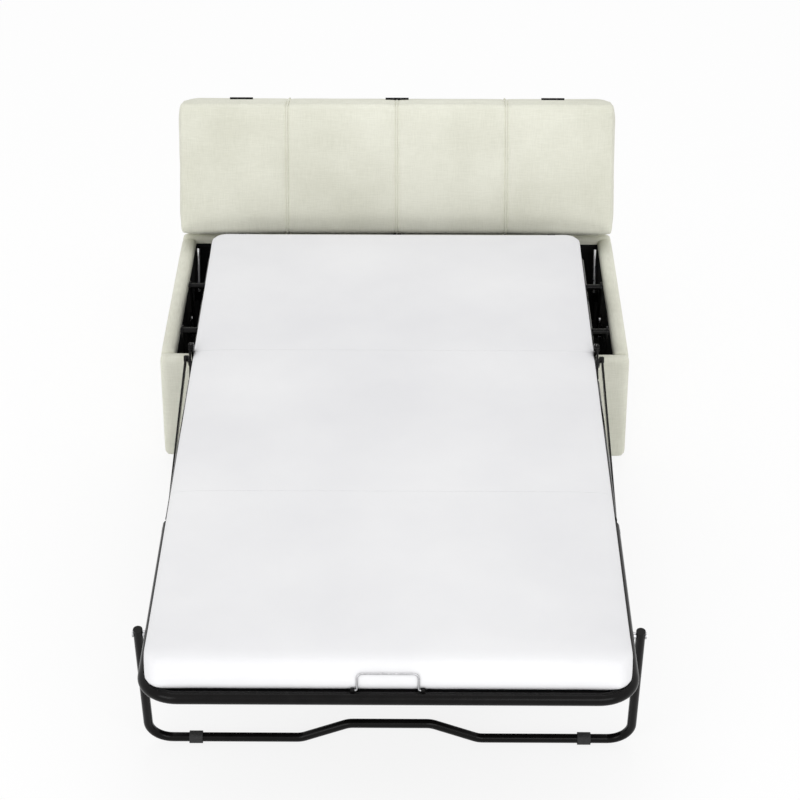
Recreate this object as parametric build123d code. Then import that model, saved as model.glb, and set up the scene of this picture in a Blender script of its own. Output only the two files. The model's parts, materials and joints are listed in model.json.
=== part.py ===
from build123d import *
import math
import os

# Storage sofa bed, opened as a bed: an upholstered box, a lid folded in two that stands
# behind it as a headboard, and a steel frame in three sections that carries the mattress.
# Millimetres. X to the right, Y from the foot of the bed to the headboard, Z up.
# Y is first counted from the outer front face of the box, and moved to the middle at the end.

# Box
box_width = 1122
box_depth = 690
box_top_z = 300
box_bottom_z = 27
wall_thickness = 36
wall_edge_radius = 10
wall_corner_radius = 15
board_thickness = 15
board_foam = 12
board_end_foam = 16
base_z = 45
base_thickness = 12
lining_thickness = 1.5
lining_gap = 0.3
lining_top_drop = 8
dust_sheet_thickness = 1
foot_radius = 22
foot_lip_height = 6
foot_lip_extra = 4
foot_inset = 40

# Lid, two equal halves hinged to each other and to the rear wall of the box
lid_half_depth = 345
lid_width = 1124
lid_thickness = 110
lid_lean = 20
lid_axis_inset = 7
lid_axis_rise = 5
lid_edge_gap = 5
lid_far_gap = 7
lid_half_gap = 2
lid_board_thickness = 12
lid_board_inset = 14
lid_corner_radius = 26
lid_crown = 7
lid_side_draw = 5
lid_top_draw = 16
lid_panels = 4
channel_depth = 5
channel_width = 9
piping_radius = 1.6
lid_fastener_gap = 0.3

# Barrel hinges of the lid
hinge_count = 3
hinge_spread_share = 0.36
hinge_length = 60
hinge_leaf_depth = 24
hinge_leaf_thickness = 1.5
hinge_barrel_radius = 4
hinge_pin_radius = 2
mid_barrel_radius = 3.2
mid_pin_radius = 1.5
running_gap = 0.05
knuckle_gap = 0.3

# Mattress
mattress_width = 914
mattress_thickness = 76
mattress_bottom_z = 352
mattress_crown = 4
mattress_side_draw = 13
mattress_low_draw = 3
mattress_high_draw = 3
mattress_edge_draw = 16
mattress_crown_draw = 90
mattress_corner_radius = 42
mattress_foot_gap = 14
section_gap = 1

# Bed frame: places of the foot rail and of the two fold lines
foot_rail_reach = 1400
foot_fold_reach = 794
head_fold_reach = 188
head_end_depth = 433
rail_z = 350
rail_half_width = 463.5
foot_rail_radius = 12.5
side_rail_radius = 9.5
rail_corner_radius = 68
rail_fold_gap = 12
cross_tube_set_in = 10
deck_thickness = 3
deck_gap = 0.3
fold_above_mattress = 7
fold_below_rail = 27.5

# Flat steel links, plates and rivets
bar_thickness = 4
bar_width = 20
link_width = 16
rivet_radius = 4
rivet_head_radius = 7
rivet_head_height = 2
plate_gap = 1
side_gap = 0.3
link_offset_y = 20
link_offset_z = -42
lane_gap = 1.5

bracket_gap = 0.5
bracket_thickness = 3
open_pivot_gap = 0.3
head_end_gap = 12

# Swing arms that carry the head section over the box
arm_length = 195
arm_start_angle = 116
arm_width = 24
arm_side_gap = 9.4
front_arm_inset = 50
arm_spacing = 230
torque_tube_radius = 9
mount_plate_height = 70
mount_plate_overhang = 40
bolt_radius = 3
bolt_head_radius = 6
bolt_head_height = 3
bolt_depth = 24
bolt_inset = 12
torque_tube_offset = 48

# Standing rods at the rear of the box
stand_rod_radius = 4
stand_rod_inset = 11
stand_rod_low = (545, 190)
stand_rod_high = (592, 298)
stand_bracket_size = 26
stand_bracket_thickness = 3

# Folding legs
leg_radius = 9.5
leg_stub = 13
leg_plate_inset = 5
foot_leg_half_width = 493.5
foot_leg_pivot_reach = 1160
foot_leg_floor_reach = 1085
foot_leg_corner_radius = 48
leg_pivot_drop = 25
leg_lift = 3.5
leg_rise = 46
leg_rise_half_inner = 84
leg_rise_half_outer = 182
leg_rise_radius = 40
collar_radius = 13
collar_length = 27
collar_place = 398
mid_leg_half_width = 436
mid_leg_pivot_reach = 640
mid_leg_corner_radius = 40
mid_collar_place = 340

# Pull handle of bent wire on the foot rail
handle_radius = 2
handle_width = 116
handle_height = 34
handle_corner_radius = 10
handle_lean = 10
handle_foot = 12
handle_clip_length = 8
handle_clip_wall = 1.5
handle_set_back = 4

# Worked-out places shared by several pieces
half_box = box_width / 2
inner_half = half_box - wall_thickness
rear_inner = box_depth - wall_thickness
fold_head_z = mattress_bottom_z + mattress_thickness + fold_above_mattress
fold_foot_z = rail_z - foot_rail_radius - fold_below_rail
head_fold_y = -head_fold_reach
foot_fold_y = -foot_fold_reach
foot_rail_y = -foot_rail_reach
lid_axis_y = box_depth - lid_axis_inset
lid_axis_z = box_top_z + lid_axis_rise
lean_sin = math.sin(math.radians(lid_lean))
lean_cos = math.cos(math.radians(lid_lean))
mid_axis_y = lid_axis_y + lid_half_depth * lean_sin
mid_axis_z = lid_axis_z + lid_half_depth * lean_cos
arm_attach_y = (front_arm_inset, front_arm_inset + arm_spacing)
arm_run = arm_length * math.cos(math.radians(arm_start_angle))
arm_climb = arm_length * math.sin(math.radians(arm_start_angle))
arm_pivot_y = tuple(place - arm_run for place in arm_attach_y)
arm_pivot_z = rail_z - arm_climb
leg_pivot_z = rail_z - leg_pivot_drop
leg_tube_z = leg_radius + leg_lift
cross_tube_z = rail_z - deck_thickness / 2 - deck_gap - side_rail_radius

# Lanes across the width, from the mattress outwards: hinge plates, links, legs, arms
outer_plate_x = rail_half_width + plate_gap / 2
inner_plate_x = outer_plate_x - plate_gap - bar_thickness
bracket_x = rail_half_width + side_rail_radius + bracket_gap
link_x = rail_half_width + foot_rail_radius + lane_gap
leg_plate_x = rail_half_width + leg_plate_inset
lining_x = inner_half - lining_gap - lining_thickness
mount_plate_x = lining_x - lining_gap - bar_thickness
arm_x = mount_plate_x - arm_side_gap - bar_thickness

# Pivots as (y, z)
plate_set_back = bar_width * 1.5
head_pivot = (head_fold_y, fold_head_z)
foot_pivot = (foot_fold_y, fold_foot_z)
head_link_pivot = (head_fold_y + link_offset_y, fold_head_z + link_offset_z)
foot_link_pivot = (foot_fold_y + link_offset_y, fold_foot_z + link_offset_z)
foot_leg_pivot = (-foot_leg_pivot_reach, leg_pivot_z)
middle_leg_pivot = (-mid_leg_pivot_reach, leg_pivot_z)
handle_y = foot_rail_y + handle_set_back
handle_z = rail_z + foot_rail_radius + handle_radius + handle_clip_wall


# Shared shapes
def block(x_low, x_high, y_low, y_high, z_low, z_high):
    middle = Pos((x_low + x_high) / 2, (y_low + y_high) / 2, (z_low + z_high) / 2)
    return middle * Box(x_high - x_low, y_high - y_low, z_high - z_low)


def rod(start, end, radius):
    line = Line(start, end)
    return extrude(Plane(origin=start, z_dir=line.tangent_at(0)) * Circle(radius), line.length)


def bent_tube(points, corner, radius):
    path = FilletPolyline(*points, radius=corner)
    section = Plane(origin=path.position_at(0), z_dir=path.tangent_at(0)) * Circle(radius)
    return sweep(section, path=path)


def strap(start, end, width, x_low, thickness, hole_radius):
    """A flat bar in the YZ plane with round ends and a hole at each end."""
    length = math.dist(start, end)
    turn = math.degrees(math.atan2(end[1] - start[1], end[0] - start[0]))
    middle = Pos((start[0] + end[0]) / 2, (start[1] + end[1]) / 2)
    face = middle * Rot(0, 0, turn) * SlotCenterToCenter(length, width)
    for place in (start, end):
        face -= Pos(*place) * Circle(hole_radius)
    return extrude(Plane.YZ.offset(x_low) * face, thickness)


def pivot_pin(place, x_low, x_high):
    """A rivet along X with a head outside each end."""
    shank = rod((x_low, *place), (x_high, *place), rivet_radius)
    low_head = rod((x_low - rivet_head_height, *place), (x_low, *place), rivet_head_radius)
    high_head = rod((x_high, *place), (x_high + rivet_head_height, *place), rivet_head_radius)
    return shank + low_head + high_head


def mirrored(shape):
    return mirror(shape, about=Plane.YZ)


def soft_stack(levels, corner):
    """A cushion lofted through rounded rectangles: (half width, low y, high y, z) each."""
    faces = []
    for half, y_low, y_high, z in levels:
        outline = RectangleRounded(2 * half, y_high - y_low, corner)
        faces.append(Pos(0, (y_low + y_high) / 2, z) * outline)
    return loft(faces, ruled=True)


parts = {}


def add_pair(name, shape):
    parts[name + "_right"] = shape
    parts[name + "_left"] = mirrored(shape)


def group(shapes):
    return Compound([solid for shape in shapes for solid in shape.solids()])


def both_sides(*shapes):
    return group([*shapes, *(mirrored(shape) for shape in shapes)])


# Upholstered walls: a board inside a padded cover
def padded_wall(x_low, x_high, y_low, y_high):
    cover = block(x_low, x_high, y_low, y_high, box_bottom_z, box_top_z)
    long_edges = cover.edges().filter_by(Axis.Z, reverse=True)
    return fillet(long_edges, wall_edge_radius)


def wall_board(x_low, x_high, y_low, y_high):
    return block(x_low, x_high, y_low, y_high, base_z, box_top_z - board_end_foam)


def box_walls():
    end_half = half_box - board_end_foam
    end_cover = block(-half_box, half_box, 0, wall_thickness, box_bottom_z, box_top_z)
    corners = end_cover.edges().filter_by(Axis.Z).group_by(Axis.Y)[0]
    end_cover = fillet(corners, wall_corner_radius)
    edges = end_cover.edges().group_by(Axis.Z)
    end_cover = fillet(edges[0] + edges[-1], wall_edge_radius)
    end_board = wall_board(-end_half, end_half, board_foam, board_foam + board_thickness)
    parts["front_wall_board"] = end_board
    parts["front_wall_cover"] = end_cover - end_board
    middle = Plane.XZ.offset(-box_depth / 2)
    parts["rear_wall_board"] = mirror(end_board, about=middle)
    parts["rear_wall_cover"] = mirror(end_cover - end_board, about=middle)
    side_high = half_box - board_foam
    side_low = side_high - board_thickness
    side_board = wall_board(side_low, side_high, wall_thickness, rear_inner)
    side_cover = block(inner_half, half_box, wall_thickness, rear_inner, box_bottom_z, box_top_z)
    side_cover = fillet(side_cover.edges().filter_by(Axis.Y), wall_edge_radius)
    add_pair("side_wall_board", side_board)
    add_pair("side_wall_cover", side_cover - side_board)


def foot_places():
    for x in (-inner_half + foot_inset, inner_half - foot_inset):
        for y in (wall_thickness + foot_inset, rear_inner - foot_inset):
            yield x, y


def box_floor():
    base_top = base_z + base_thickness
    parts["base_board"] = block(-inner_half, inner_half, wall_thickness, rear_inner, base_z, base_top)
    sheet = block(-inner_half, inner_half, wall_thickness, rear_inner, base_z - dust_sheet_thickness, base_z)
    feet = []
    for x, y in foot_places():
        foot = Pos(x, y, base_z / 2) * Cylinder(foot_radius, base_z)
        lip = Pos(x, y, foot_lip_height / 2) * Cylinder(foot_radius + foot_lip_extra, foot_lip_height)
        feet.append(foot + lip)
        sheet -= foot
    parts["dust_sheet"] = sheet
    parts["feet"] = group(feet)


def box_lining():
    top = box_top_z - lining_top_drop - wall_edge_radius
    floor = base_z + base_thickness
    side_high = inner_half - lining_gap
    side_low = side_high - lining_thickness
    end_low = wall_thickness + lining_gap
    end_high = end_low + lining_thickness
    low = floor + lining_thickness
    side_sheet = block(side_low, side_high, end_high, box_depth - end_high, low, top)
    end_sheet = block(-side_high, side_high, end_low, end_high, low, top)
    far_sheet = mirror(end_sheet, about=Plane.XZ.offset(-box_depth / 2))
    floor_sheet = block(-side_high, side_high, end_low, box_depth - end_low, floor, low)
    parts["box_lining"] = group([side_sheet, mirrored(side_sheet), end_sheet, far_sheet, floor_sheet])


# Lid: each half is a board in a padded cover with sewn channels, made flat and then stood up
def lid_levels():
    half = lid_width / 2
    low_y = lid_edge_gap
    high_y = lid_half_depth - lid_far_gap
    base = lid_half_gap
    rise = lid_thickness - lid_half_gap
    shares = ((0, lid_side_draw), (0.22, 0), (0.62, 0), (0.86, lid_side_draw), (1, lid_top_draw))
    levels = []
    for height_share, draw in shares:
        levels.append((half - draw, low_y + draw, high_y - draw, base + rise * height_share))
    half_crown = lid_top_draw + lid_crown * lid_panels
    crown_z = lid_thickness + lid_crown
    levels.append((half - half_crown, low_y + half_crown, high_y - half_crown, crown_z))
    return levels


def lid_seam_places():
    panel = lid_width / lid_panels
    return [panel * (count - lid_panels / 2) for count in range(1, lid_panels)]


def lid_board():
    inset = lid_board_inset
    return block(-lid_width / 2 + inset, lid_width / 2 - inset, lid_edge_gap + inset,
                 lid_half_depth - lid_far_gap - inset, lid_half_gap,
                 lid_half_gap + lid_board_thickness)


def lid_channel(x):
    """A groove across the padded face and down both long edges of one half."""
    depth = channel_depth
    low_y = lid_edge_gap
    high_y = lid_half_depth - lid_far_gap
    top = lid_thickness + lid_crown
    draw = lid_top_draw + lid_crown * lid_panels
    floor_points = [(low_y + depth, lid_half_gap), (low_y + depth, top - draw),
                    (low_y + draw, top - depth), (high_y - draw, top - depth),
                    (high_y - depth, top - draw), (high_y - depth, lid_half_gap)]
    outer_points = [(high_y + depth, lid_half_gap), (high_y + depth, top + depth),
                    (low_y - depth, top + depth), (low_y - depth, lid_half_gap)]
    outline = make_face(Polyline(*floor_points, *outer_points, floor_points[0]))
    groove = extrude(Plane.YZ * outline, channel_width / 2, both=True)
    return Pos(x, 0, 0) * groove


def lid_pad():
    pad = soft_stack(lid_levels(), lid_corner_radius) - lid_board()
    for x in lid_seam_places():
        pad -= lid_channel(x)
    return pad


def lid_piping():
    low_y = lid_edge_gap + channel_depth
    high_y = lid_half_depth - lid_far_gap - channel_depth
    top = lid_thickness + lid_crown - channel_depth
    draw = lid_top_draw + lid_crown * lid_panels - channel_depth
    off = piping_radius + lid_fastener_gap
    cords = []
    for x in lid_seam_places():
        points = [(x, low_y - off, lid_half_gap + off), (x, low_y - off, top + channel_depth - draw - off),
                  (x, low_y + draw - off, top + off), (x, high_y - draw + off, top + off),
                  (x, high_y + off, top + channel_depth - draw - off), (x, high_y + off, lid_half_gap + off)]
        cords.append(bent_tube(points, channel_depth, piping_radius))
    return group(cords)


def hinge_places():
    reach = lid_width * hinge_spread_share
    return [reach * (count - (hinge_count - 1) / 2) for count in range(hinge_count)]


rear_half_plane = Plane(origin=(0, lid_axis_y, lid_axis_z), x_dir=(-1, 0, 0), z_dir=(0, lean_cos, -lean_sin))
front_half_plane = Plane(origin=(0, mid_axis_y, mid_axis_z), x_dir=(-1, 0, 0), z_dir=(0, -lean_cos, lean_sin))


def lid_halves():
    for name, plane in (("lid_rear", rear_half_plane), ("lid_front", front_half_plane)):
        parts[name + "_board"] = plane * lid_board()
        parts[name + "_pad"] = plane * lid_pad()
        parts[name + "_piping"] = plane * lid_piping()


def barrel(x_low, x_high, radius, pin_radius):
    tube = rod((x_low, 0, 0), (x_high, 0, 0), radius)
    return tube - rod((x_low, 0, 0), (x_high, 0, 0), pin_radius + running_gap)


def half_leaf(x_low, x_high, radius):
    """A leaf of a barrel hinge against the underside of one lid half."""
    low_z = lid_half_gap - hinge_leaf_thickness
    web = block(x_low, x_high, 0, lid_edge_gap, low_z, lid_half_gap)
    web -= rod((x_low, 0, 0), (x_high, 0, 0), radius - running_gap)
    leaf = block(x_low, x_high, lid_edge_gap, lid_edge_gap + lid_board_inset + hinge_leaf_depth,
                 low_z, lid_half_gap)
    return leaf + web


def lid_hinges():
    third = hinge_length / 3
    box_leaves, rear_leaves, rear_pins = [], [], []
    mid_front, mid_rear, mid_pins = [], [], []
    for x in hinge_places():
        inner = third / 2
        outer = hinge_length / 2
        place = Pos(x, lid_axis_y, lid_axis_z)
        knuckle = place * barrel(-inner, inner, hinge_barrel_radius, hinge_pin_radius)
        leaf = block(x - inner, x + inner, lid_axis_y - hinge_leaf_depth, lid_axis_y,
                     box_top_z, box_top_z + hinge_leaf_thickness)
        box_leaves.append(knuckle + leaf)
        rear_pins.append(place * rod((-outer, 0, 0), (outer, 0, 0), hinge_pin_radius))
        for low, high in ((-outer, -inner - knuckle_gap), (inner + knuckle_gap, outer)):
            piece = barrel(low, high, hinge_barrel_radius, hinge_pin_radius)
            piece += half_leaf(low, high, hinge_barrel_radius)
            rear_leaves.append(rear_half_plane * Pos(x, 0, 0) * piece)
            far = barrel(low, high, mid_barrel_radius, mid_pin_radius)
            far += half_leaf(low, high, mid_barrel_radius)
            turned = Plane(origin=(0, mid_axis_y, mid_axis_z), x_dir=(1, 0, 0),
                           z_dir=(0, lean_cos, -lean_sin))
            mid_rear.append(turned * Pos(x, 0, 0) * far)
        centre = barrel(-inner, inner, mid_barrel_radius, mid_pin_radius)
        centre += half_leaf(-inner, inner, mid_barrel_radius)
        mid_front.append(front_half_plane * Pos(x, 0, 0) * centre)
        mid_pins.append(Pos(x, mid_axis_y, mid_axis_z) * rod((-outer, 0, 0), (outer, 0, 0), mid_pin_radius))
    parts["box_hinge_leaves"] = group(box_leaves)
    parts["lid_rear_hinge_leaves"] = group(rear_leaves)
    parts["lid_hinge_pins"] = group(rear_pins)
    parts["lid_mid_leaves_rear"] = group(mid_rear)
    parts["lid_mid_leaves_front"] = group(mid_front)
    parts["lid_mid_pins"] = group(mid_pins)


# Mattress: one cushion shape, cut at the two fold lines
def mattress():
    half = mattress_width / 2
    foot_end = foot_rail_y + foot_rail_radius + mattress_foot_gap
    low = mattress_bottom_z
    high = mattress_bottom_z + mattress_thickness - mattress_crown
    rows = ((0, mattress_side_draw), (0.16, mattress_low_draw), (0.5, 0),
            (0.82, mattress_high_draw), (1, mattress_edge_draw))
    levels = []
    for height_share, draw in rows:
        z = low + (high - low) * height_share
        levels.append((half - draw, foot_end + draw, head_end_depth - draw, z))
    crown = mattress_crown_draw
    levels.append((half - crown, foot_end + crown, head_end_depth - crown, high + mattress_crown))
    cushion = soft_stack(levels, mattress_corner_radius)
    top = mattress_bottom_z + mattress_thickness
    gap = section_gap / 2
    bands = (("head_mattress", head_fold_y + gap, head_end_depth),
             ("middle_mattress", foot_fold_y + gap, head_fold_y - gap),
             ("foot_mattress", foot_end, foot_fold_y - gap))
    for name, y_low, y_high in bands:
        parts[name] = cushion & block(-half, half, y_low, y_high, mattress_bottom_z, top)


# Steel frame sections
def deck(y_low, y_high, rail_radius):
    half = rail_half_width - rail_radius - deck_gap
    return block(-half, half, y_low, y_high, rail_z - deck_thickness / 2, rail_z + deck_thickness / 2)


def cross_tube(y, radius):
    """A tube under the deck, cut to the side rails that it is welded to."""
    reach = inner_plate_x - plate_gap
    tube = rod((-reach, y, cross_tube_z), (reach, y, cross_tube_z), side_rail_radius)
    for side in (-rail_half_width, rail_half_width):
        tube -= rod((side, y - rail_corner_radius, rail_z), (side, y + rail_corner_radius, rail_z), radius)
    return tube


def side_rail(y_low, y_high):
    return rod((rail_half_width, y_low, rail_z), (rail_half_width, y_high, rail_z), side_rail_radius)


def frame_section(name, y_low, y_high):
    parts[name + "_rails"] = both_sides(side_rail(y_low, y_high))
    low_tube = y_low + cross_tube_set_in
    high_tube = y_high - cross_tube_set_in
    tubes = [cross_tube(low_tube, side_rail_radius), cross_tube(high_tube, side_rail_radius)]
    parts[name + "_cross_tubes"] = group(tubes)
    parts[name + "_deck"] = deck(low_tube, high_tube, side_rail_radius)


def foot_section():
    start = foot_fold_y - rail_fold_gap
    reach = rail_half_width
    points = [(reach, start, rail_z), (reach, foot_rail_y, rail_z),
              (-reach, foot_rail_y, rail_z), (-reach, start, rail_z)]
    parts["foot_rail"] = bent_tube(points, rail_corner_radius, foot_rail_radius)
    tube_y = start - cross_tube_set_in
    parts["foot_cross_tube"] = cross_tube(tube_y, foot_rail_radius)
    low = foot_rail_y + foot_rail_radius + deck_gap
    cloth = deck(low, tube_y, foot_rail_radius)
    corners = cloth.edges().filter_by(Axis.Z).group_by(Axis.Y)[0]
    parts["foot_deck"] = fillet(corners, rail_corner_radius - foot_rail_radius)


def hinge_plate(pivot, rail_y, rail_radius, x_low, hole_radius):
    """A flat plate from a side rail, where it is welded on, to a fold pivot."""
    plate = strap(pivot, (rail_y, rail_z), bar_width, x_low, bar_thickness, hole_radius)
    return plate - rail_blank(rail_y, rail_radius, pivot[1])


def rail_blank(rail_y, rail_radius, pivot_z):
    """The side rail at a plate, and all that lies on its far side from the pivot."""
    long = bar_width * 3
    blank = rod((rail_half_width, rail_y - long, rail_z),
                (rail_half_width, rail_y + long, rail_z), rail_radius)
    far_z = rail_z + math.copysign(long, rail_z - pivot_z)
    outer = rail_half_width + long
    inner = rail_half_width - long
    return blank + block(inner, outer, rail_y - long, rail_y + long, min(rail_z, far_z), max(rail_z, far_z))


def outer_bracket(pivot, rail_y, rail_radius):
    """A bracket outside the rail that carries an end of a control link."""
    plate = strap(pivot, (rail_y, rail_z), link_width, bracket_x, bracket_thickness, rivet_radius)
    pad = rod((rail_half_width, rail_y, rail_z),
              (bracket_x + bracket_thickness, rail_y, rail_z), link_width / 2)
    return plate + pad - rail_blank(rail_y, rail_radius, pivot[1])


def stud(place, base, near, far):
    """A pin along X from base through a bar that lies from near to far, with shoulder and head."""
    side = math.copysign(1, far - near)
    shoulder = rod((base, *place), (near - side * side_gap, *place), rivet_head_radius)
    shank = rod((base, *place), (far + side * side_gap, *place), rivet_radius)
    head_start = far + side * side_gap
    head = rod((head_start, *place), (head_start + side * rivet_head_height, *place), rivet_head_radius)
    return shoulder + shank + head


def head_section_steel():
    rail_y = head_fold_y + plate_set_back
    fold_plate = hinge_plate(head_pivot, rail_y, side_rail_radius, inner_plate_x, rivet_radius)
    bracket = outer_bracket(head_link_pivot, rail_y + bar_width * 2, side_rail_radius)
    parts["head_plates"] = both_sides(fold_plate, bracket)
    fold_rivet = pivot_pin(head_pivot, inner_plate_x, outer_plate_x + bar_thickness + side_gap)
    bracket_face = bracket_x + bracket_thickness
    link_stud = stud(head_link_pivot, bracket_face, link_x, link_x + bar_thickness)
    rail_face = rail_half_width + side_rail_radius
    arm_studs = [stud((y, rail_z), rail_face, arm_x, arm_x + bar_thickness) for y in arm_attach_y]
    parts["head_pins"] = both_sides(fold_rivet, link_stud, *arm_studs)


def middle_section_steel():
    loose = rivet_radius + running_gap
    head_plate = hinge_plate(head_pivot, head_fold_y - plate_set_back, side_rail_radius, outer_plate_x, loose)
    foot_plate = hinge_plate(foot_pivot, foot_fold_y + plate_set_back, side_rail_radius, outer_plate_x, loose)
    leg_plate = hinge_plate(middle_leg_pivot, -mid_leg_pivot_reach, side_rail_radius,
                            inner_plate_x, rivet_radius)
    parts["middle_plates"] = both_sides(head_plate, foot_plate, leg_plate)
    leg_stud = stud(middle_leg_pivot, inner_plate_x, mid_leg_half_width + leg_radius,
                    mid_leg_half_width - leg_radius)
    parts["middle_leg_pins"] = both_sides(leg_stud)


def foot_section_steel():
    fold_plate = hinge_plate(foot_pivot, foot_fold_y - plate_set_back, foot_rail_radius,
                             inner_plate_x, rivet_radius)
    bracket = outer_bracket(foot_link_pivot, foot_fold_y - plate_set_back, foot_rail_radius)
    leg_plate = hinge_plate(foot_leg_pivot, -foot_leg_pivot_reach, foot_rail_radius,
                            leg_plate_x, rivet_radius)
    parts["foot_plates"] = both_sides(fold_plate, bracket, leg_plate)
    fold_rivet = pivot_pin(foot_pivot, inner_plate_x, outer_plate_x + bar_thickness + side_gap)
    bracket_face = bracket_x + bracket_thickness
    link_stud = stud(foot_link_pivot, bracket_face, link_x, link_x + bar_thickness)
    leg_stud = stud(foot_leg_pivot, leg_plate_x + bar_thickness, foot_leg_half_width - leg_radius,
                    foot_leg_half_width + leg_radius)
    parts["foot_pins"] = both_sides(fold_rivet, link_stud, leg_stud)


def control_links():
    length_hole = rivet_radius + open_pivot_gap
    link = strap(head_link_pivot, foot_link_pivot, link_width, link_x, bar_thickness, length_hole)
    parts["control_links"] = both_sides(link)


# Swing arms between the box and the head section
def swing_arms():
    loose = rivet_radius + running_gap
    for name, pivot_y, attach_y in zip(("front_arm", "rear_arm"), arm_pivot_y, arm_attach_y):
        arm = strap((pivot_y, arm_pivot_z), (attach_y, rail_z), arm_width, arm_x, bar_thickness, loose)
        add_pair(name, arm)
    tube_half = arm_x
    tube_y = arm_pivot_y[0] + torque_tube_offset * math.cos(math.radians(arm_start_angle))
    tube_z = arm_pivot_z + torque_tube_offset * math.sin(math.radians(arm_start_angle))
    parts["arm_cross_tube"] = rod((-tube_half, tube_y, tube_z),
                                  (tube_half, tube_y, tube_z), torque_tube_radius)


def bolt_places():
    high = arm_pivot_z + mount_plate_height / 2 - bolt_inset
    low = arm_pivot_z - mount_plate_height / 2 + bolt_inset
    start = arm_pivot_y[0] - mount_plate_overhang + bolt_inset
    end = arm_pivot_y[1] + mount_plate_overhang - bolt_inset
    return [(y, z) for y in (start, end) for z in (low, high)]


def mount_plates():
    x_high = mount_plate_x + bar_thickness
    plate = block(mount_plate_x, x_high, arm_pivot_y[0] - mount_plate_overhang,
                  arm_pivot_y[1] + mount_plate_overhang, arm_pivot_z - mount_plate_height / 2,
                  arm_pivot_z + mount_plate_height / 2)
    shanks = []
    bolts = []
    for place in bolt_places():
        shank = rod((mount_plate_x, *place), (x_high + bolt_depth, *place), bolt_radius)
        head = rod((mount_plate_x - bolt_head_height, *place), (mount_plate_x, *place), bolt_head_radius)
        shanks.append(shank)
        bolts.append(shank + head)
    parts["mount_plates"] = both_sides(plate - shanks)
    parts["mount_bolts"] = both_sides(*bolts)
    for name in ("side_wall_cover", "side_wall_board"):
        add_pair(name, parts[name + "_right"] - shanks)
    holes = shanks + [mirrored(shank) for shank in shanks]
    sheets = [sheet - holes for sheet in parts["box_lining"].solids()]
    parts["box_lining"] = group(sheets)
    arm_face = arm_x + bar_thickness
    studs = [stud((y, arm_pivot_z), mount_plate_x, arm_face, arm_x) for y in arm_pivot_y]
    parts["arm_pivot_pins"] = both_sides(*studs)


def stand_rods():
    x = inner_half - stand_rod_inset
    pole = rod((x, *stand_rod_low), (x, *stand_rod_high), stand_rod_radius)
    parts["stand_rods"] = both_sides(pole)
    y, z = stand_rod_low
    half = stand_bracket_size / 2
    wall = lining_x - lining_gap
    near = x - stand_rod_radius - stand_bracket_thickness
    socket = block(near, wall, y - half, y + half, z - half, z + half)
    socket -= rod((x, *stand_rod_low), (x, *stand_rod_high), stand_rod_radius)
    parts["stand_brackets"] = both_sides(socket)


# Folding legs of bent tube with rubber collars
def leg_frame(name, pivot, floor_y, half_width, corner, rises, collar_x, hole_low, hole_high):
    run = floor_y - pivot[0]
    drop = leg_tube_z - pivot[1]
    length = math.hypot(run, drop)
    step_y = run / length
    step_z = drop / length
    outline = [(half_width, -leg_stub), (half_width, length)]
    outline += [(x, length - rise) for x, rise in rises]
    outline += [(-half_width, length), (-half_width, -leg_stub)]
    points = [(x, pivot[0] + step_y * along, pivot[1] + step_z * along) for x, along in outline]
    radii = [corner] + [leg_rise_radius] * len(rises) + [corner]
    tube = bent_tube(points, radii, leg_radius)
    hole = rod((hole_low, *pivot), (hole_high, *pivot), rivet_radius + running_gap)
    tube -= [hole, mirrored(hole)]
    parts[name] = tube
    low = collar_x - collar_length / 2
    high = collar_x + collar_length / 2
    collar = rod((low, floor_y, leg_tube_z), (high, floor_y, leg_tube_z), collar_radius)
    collar -= rod((low, floor_y, leg_tube_z), (high, floor_y, leg_tube_z), leg_radius)
    parts[name + "_collars"] = both_sides(collar)


def legs():
    rises = [(leg_rise_half_outer, 0), (leg_rise_half_inner, leg_rise),
             (-leg_rise_half_inner, leg_rise), (-leg_rise_half_outer, 0)]
    half = foot_leg_half_width
    leg_frame("foot_leg", foot_leg_pivot, -foot_leg_floor_reach, half, foot_leg_corner_radius, rises,
              collar_place, half - leg_radius * 2, half + leg_radius * 2)
    half = mid_leg_half_width
    leg_frame("middle_leg", middle_leg_pivot, -mid_leg_pivot_reach, half, mid_leg_corner_radius, [],
              mid_collar_place, half - leg_radius * 2, half + leg_radius * 2)


# Pull handle: a wire bail in two clips on the foot rail
def pull_handle():
    half = handle_width / 2
    reach = half + handle_foot
    outline = [(reach, 0), (half, 0), (half, handle_height),
               (-half, handle_height), (-half, 0), (-reach, 0)]
    sway = math.sin(math.radians(handle_lean))
    climb = math.cos(math.radians(handle_lean))
    points = [(x, handle_y + sway * up, handle_z + climb * up) for x, up in outline]
    small = handle_radius * 1.5
    parts["pull_handle"] = bent_tube(points, [small, handle_corner_radius, handle_corner_radius, small],
                                     handle_radius)
    low = reach - handle_clip_length
    ring = handle_radius + handle_clip_wall
    clip = block(low, reach, handle_y - ring, handle_y + ring, rail_z, handle_z + ring)
    clip -= rod((low, handle_y, handle_z), (reach, handle_y, handle_z), handle_radius + running_gap)
    clip -= rod((low, foot_rail_y, rail_z), (reach, foot_rail_y, rail_z), foot_rail_radius)
    parts["handle_clips"] = both_sides(clip)


def build():
    box_walls()
    box_floor()
    box_lining()
    mount_plates()
    stand_rods()
    lid_halves()
    lid_hinges()
    mattress()
    frame_section("head", head_fold_y + rail_fold_gap, head_end_depth - head_end_gap)
    frame_section("middle", foot_fold_y + rail_fold_gap, head_fold_y - rail_fold_gap)
    foot_section()
    head_section_steel()
    middle_section_steel()
    foot_section_steel()
    control_links()
    swing_arms()
    legs()
    pull_handle()


build()

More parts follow.
